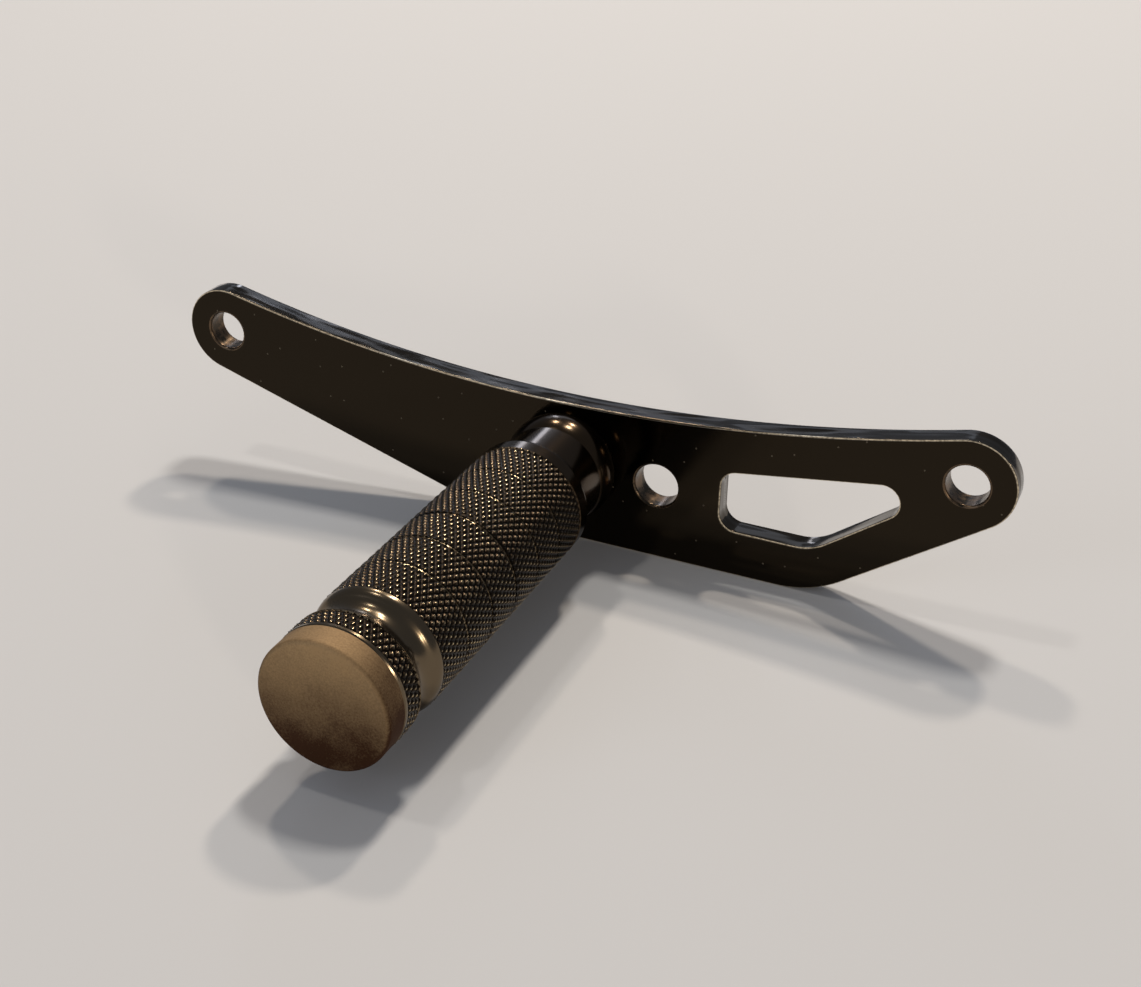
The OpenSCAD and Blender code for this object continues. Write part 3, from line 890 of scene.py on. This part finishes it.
class SHIFTPEG_OT_peg(Operator):
    """Turns the peg with its collar, neck, grooves and diamond knurl"""

    bl_idname = "shift_peg.peg"
    bl_label = "Knurled peg"

    def execute(self, context):
        p = context.scene.shift_peg_peg
        front = context.scene.shift_peg_plate.thickness
        axis = peg_axis()
        shell = Shell()
        knurl = Knurl(p)
        around = round_stations(axis, 2 * p.knurl_count)
        ring_r = PEG_TIP_R - p.ring_depth
        core_r = min(ring_r, knurl.root_r - CORE_DROP)
        lip_r = knurl.root_r - LIP_DROP
        wide_start = bands_end(p)
        wide_end = wide_start + p.wide_w
        short_end = wide_end + p.short_band
        rim_end = short_end + p.rim_l
        edge_s = front + p.shoulder_s + p.shoulder_edge_r
        edge_u = p.band_r - p.shoulder_edge_r
        drill_l = (p.thread_r - DRILL_FLAT_R) / math.tan(DRILL_HALF_ANGLE)

        # The tapped hole, the foot, the collar, the neck and the shoulder
        foot = [
            *straight_runs(
                (DRILL_FLAT_R, front + p.thread_l + drill_l),
                (p.thread_r, front + p.thread_l),
                (p.thread_r, front),
                (p.neck_r, front),
            ),
            collar_run(p, front),
            *straight_runs(
                (p.neck_r, front + p.collar_l),
                (p.neck_r, front + p.shoulder_s),
                (edge_u, front + p.shoulder_s),
            ),
            arc_run(edge_u, edge_s, p.shoulder_edge_r, -90, 0, SHOULDER_STEPS),
            *straight_runs(
                (p.band_r, edge_s),
                (p.band_r, front + p.knurl_s - p.run_out),
                (core_r, front + p.knurl_s),
            ),
        ]
        first, last = shell.sweep(around, foot)
        shell.disc(first, forward=False)

        # The equal bands, with a ring groove after each but the last
        for k in range(p.band_count):
            start = p.knurl_s + k * p.band_pitch + (p.ring_w / 2 if k else 0)
            end = p.knurl_s + (k + 1) * p.band_pitch - (p.ring_w / 2 if k < p.band_count - 1 else 0)
            near, far = knurl.band(shell, axis, front, start, end)
            wall(shell, last, near, forward=False)
            if k < p.band_count - 1:
                inner, last = shell.sweep(around, [ring_run(ring_r, lip_r, front + end, p.ring_w)])
                wall(shell, inner, far, forward=True)

        # The wide groove and the short band
        hollow = wide_groove_run(p, front)
        inner = shell.ring(around, core_r, front + wide_start)
        wall(shell, inner, far, forward=True)
        wide = [
            [(core_r, front + wide_start), hollow[0]],
            hollow,
            [hollow[-1], (core_r, front + wide_end)],
        ]
        inner, last = shell.sweep(around, wide, inner)
        near, far = knurl.band(shell, axis, front, wide_end, short_end)
        wall(shell, last, near, forward=False)

        # The rim and the hole for the spigot
        inner = shell.ring(around, core_r, front + short_end)
        wall(shell, inner, far, forward=True)
        rim_s = front + rim_end
        rim = straight_runs(
            (core_r, front + short_end),
            (p.band_r, front + short_end + p.run_out),
            (p.band_r, rim_s - p.rim_chamfer),
            (p.band_r - p.rim_chamfer, rim_s),
            (p.socket_r, rim_s),
            (p.socket_r, rim_s - p.socket_l),
        )
        inner, last = shell.sweep(around, rim, inner)
        shell.disc(last, forward=True)
        made = shell.build("knurled_peg_plated", plated_peg_material(p, axis, front))
        seat(made, "knurled_peg")
        return {"FINISHED"}


class SHIFTPEG_OT_cap(Operator):
    """Turns the bead-blasted end cap with its soft edge and slight dome"""

    bl_idname = "shift_peg.cap"
    bl_label = "End cap"

    def execute(self, context):
        p = context.scene.shift_peg_cap
        seat_s = -PEG_LOW.y
        edge_in = p.radius - p.edge_r
        dome_r = (edge_in**2 + p.dome**2) / (2 * p.dome)
        swing = math.degrees(math.asin(edge_in / dome_r))
        top = seat_s + p.length
        dome = arc_run(0, top + p.dome - dome_r, dome_r, 90 - swing, 90, DOME_STEPS)
        runs = [
            *straight_runs(
                (p.spigot_r, seat_s - p.spigot_l),
                (p.spigot_r, seat_s),
                (p.radius - p.seam, seat_s),
                (p.radius, seat_s + p.seam),
                (p.radius, top - p.edge_r),
            ),
            arc_run(edge_in, top - p.edge_r, p.edge_r, 0, 90, CAP_EDGE_STEPS),
            [*dome[:-1], (DOME_FLAT_R, top + p.dome)],
        ]
        shell = Shell()
        first, last = shell.sweep(round_stations(peg_axis(), CAP_STATIONS), runs)
        shell.disc(first, forward=False)
        shell.disc(last, forward=True)
        seat(shell.build("end_cap_blasted", blasted_material(p)), "end_cap")
        return {"FINISHED"}


class SHIFTPEG_OT_screw(Operator):
    """Makes the countersunk screw with its hexagon socket"""

    bl_idname = "shift_peg.screw"
    bl_label = "Countersunk screw"

    def execute(self, context):
        p = context.scene.shift_peg_screw
        shell = Shell()
        centre = peg_axis()
        back, tip = -SCREW_HIGH.y, -SCREW_LOW.y
        outside = straight_runs(
            (p.head_r - p.bevel, back),
            (p.head_r, back + p.bevel),
            (p.shank_r, back + p.head_r - p.shank_r),
            (p.shank_r, tip - p.bevel),
            (p.shank_r - p.bevel, tip),
        )
        rim, end = shell.sweep(round_stations(centre, SCREW_STATIONS), outside)
        shell.disc(end, forward=True)
        six = round_stations(centre, HEXAGON)
        socket_r = p.socket_af / math.sqrt(3)
        mouth = shell.ring(six, socket_r + p.bevel, back)
        throat = shell.ring(six, socket_r, back + p.bevel)
        floor = shell.ring(six, socket_r, back + p.socket_depth)
        shell.flat([rim, mouth], forward=False)
        for high, low in ((mouth, throat), (throat, floor)):
            for i in range(HEXAGON):
                j = (i + 1) % HEXAGON
                corners = (high[j], high[i], low[i], low[j])
                a, b, c = (shell.points[k] for k in corners[:3])
                shell.face(corners, [(b - a).cross(c - a).normalized()] * 4)
        shell.disc(floor, forward=False)
        seat(shell.build("peg_screw_blackened", oxide_material(p)), "peg_screw")
        return {"FINISHED"}


def aim_at(made, target):
    """Turns a lamp towards a point."""
    made.rotation_mode = "QUATERNION"
    made.rotation_quaternion = (target - made.location).to_track_quat("-Z", "Y")


class SHIFTPEG_OT_stage(Operator):
    """Sets the camera, the lamps, the room's soft light and the pale floor"""

    bl_idname = "shift_peg.stage"
    bl_label = "Stage"

    def execute(self, context):
        p = context.scene.shift_peg_stage
        scene = context.scene
        scene.view_settings.view_transform = "Standard"
        aim = Vector(p.aim)
        level = math.cos(p.elevation)
        away = Vector((math.sin(p.azimuth) * level, -math.cos(p.azimuth) * level, math.sin(p.elevation)))
        camera = bpy.data.cameras.new("camera")
        camera.lens = p.lens
        camera.sensor_width = 36
        camera.clip_start = 0.01
        eye = bpy.data.objects.new("camera", camera)
        scene.collection.objects.link(eye)
        turned = away.to_track_quat("Z", "Y").to_matrix().to_4x4() @ Matrix.Rotation(p.roll, 4, "Z")
        eye.matrix_world = Matrix.Translation(aim + away * p.distance) @ turned
        scene.camera = eye

        for name, place, width, height, watts, tint in LAMPS:
            light = bpy.data.lights.new(name, "AREA")
            light.shape = "RECTANGLE"
            light.size = width
            light.size_y = height
            light.energy = watts
            light.color = linear(tint)[:3]
            lamp = bpy.data.objects.new(name, light)
            lamp.location = place
            aim_at(lamp, aim)
            scene.collection.objects.link(lamp)

        world = bpy.data.worlds.new("room")
        scene.world = world
        world.use_nodes = True
        world.node_tree.nodes.clear()
        constants = {"Color": linear(p.surround), "Strength": p.surround_level}
        light = add_node(world.node_tree, "Background", {}, constants)
        add_node(world.node_tree, "OutputWorld", {"Surface": light})

        half = p.floor_w / 2
        mesh = bpy.data.meshes.new("floor")
        corners = [(-half, -half), (half, -half), (half, half), (-half, half)]
        mesh.from_pydata([(x, y, PLATE_LOW.z) for x, y in corners], [], [(0, 1, 2, 3)])
        mesh.materials.append(floor_material(p))
        floor = bpy.data.objects.new("floor", mesh)
        scene.collection.objects.link(floor)
        return {"FINISHED"}


class SHIFTPEG_PT_panel(Panel):
    """Lists the part's pieces and the stage in the sidebar"""

    bl_idname = "SHIFTPEG_PT_panel"
    bl_label = "Shift lock peg"
    bl_space_type = "VIEW_3D"
    bl_region_type = "UI"
    bl_category = "Shift lock peg"

    def draw(self, context):
        for name, group, operator in PARTS:
            column = self.layout.box().column()
            column.operator(operator.bl_idname)
            for key in group.__annotations__:
                column.prop(getattr(context.scene, name), key)


# Name of each part's settings in the scene, their class, and the operator that uses them
PARTS = [
    ("shift_peg_stage", StageSettings, SHIFTPEG_OT_stage),
    ("shift_peg_plate", PlateSettings, SHIFTPEG_OT_plate),
    ("shift_peg_peg", PegSettings, SHIFTPEG_OT_peg),
    ("shift_peg_cap", CapSettings, SHIFTPEG_OT_cap),
    ("shift_peg_screw", ScrewSettings, SHIFTPEG_OT_screw),
]


def register():
    """Adds the settings, the operators and the panel."""
    for name, group, operator in PARTS:
        bpy.utils.register_class(group)
        setattr(bpy.types.Scene, name, PointerProperty(type=group))
        bpy.utils.register_class(operator)
    bpy.utils.register_class(SHIFTPEG_PT_panel)


def unregister():
    """Takes them away again, in the opposite order."""
    bpy.utils.unregister_class(SHIFTPEG_PT_panel)
    for name, group, operator in reversed(PARTS):
        bpy.utils.unregister_class(operator)
        delattr(bpy.types.Scene, name)
        bpy.utils.unregister_class(group)


def main():
    """Builds the stage and every piece."""
    register()
    bpy.ops.shift_peg.stage()
    bpy.ops.shift_peg.plate()
    bpy.ops.shift_peg.peg()
    bpy.ops.shift_peg.cap()
    bpy.ops.shift_peg.screw()


if __name__ == "__main__":
    main()
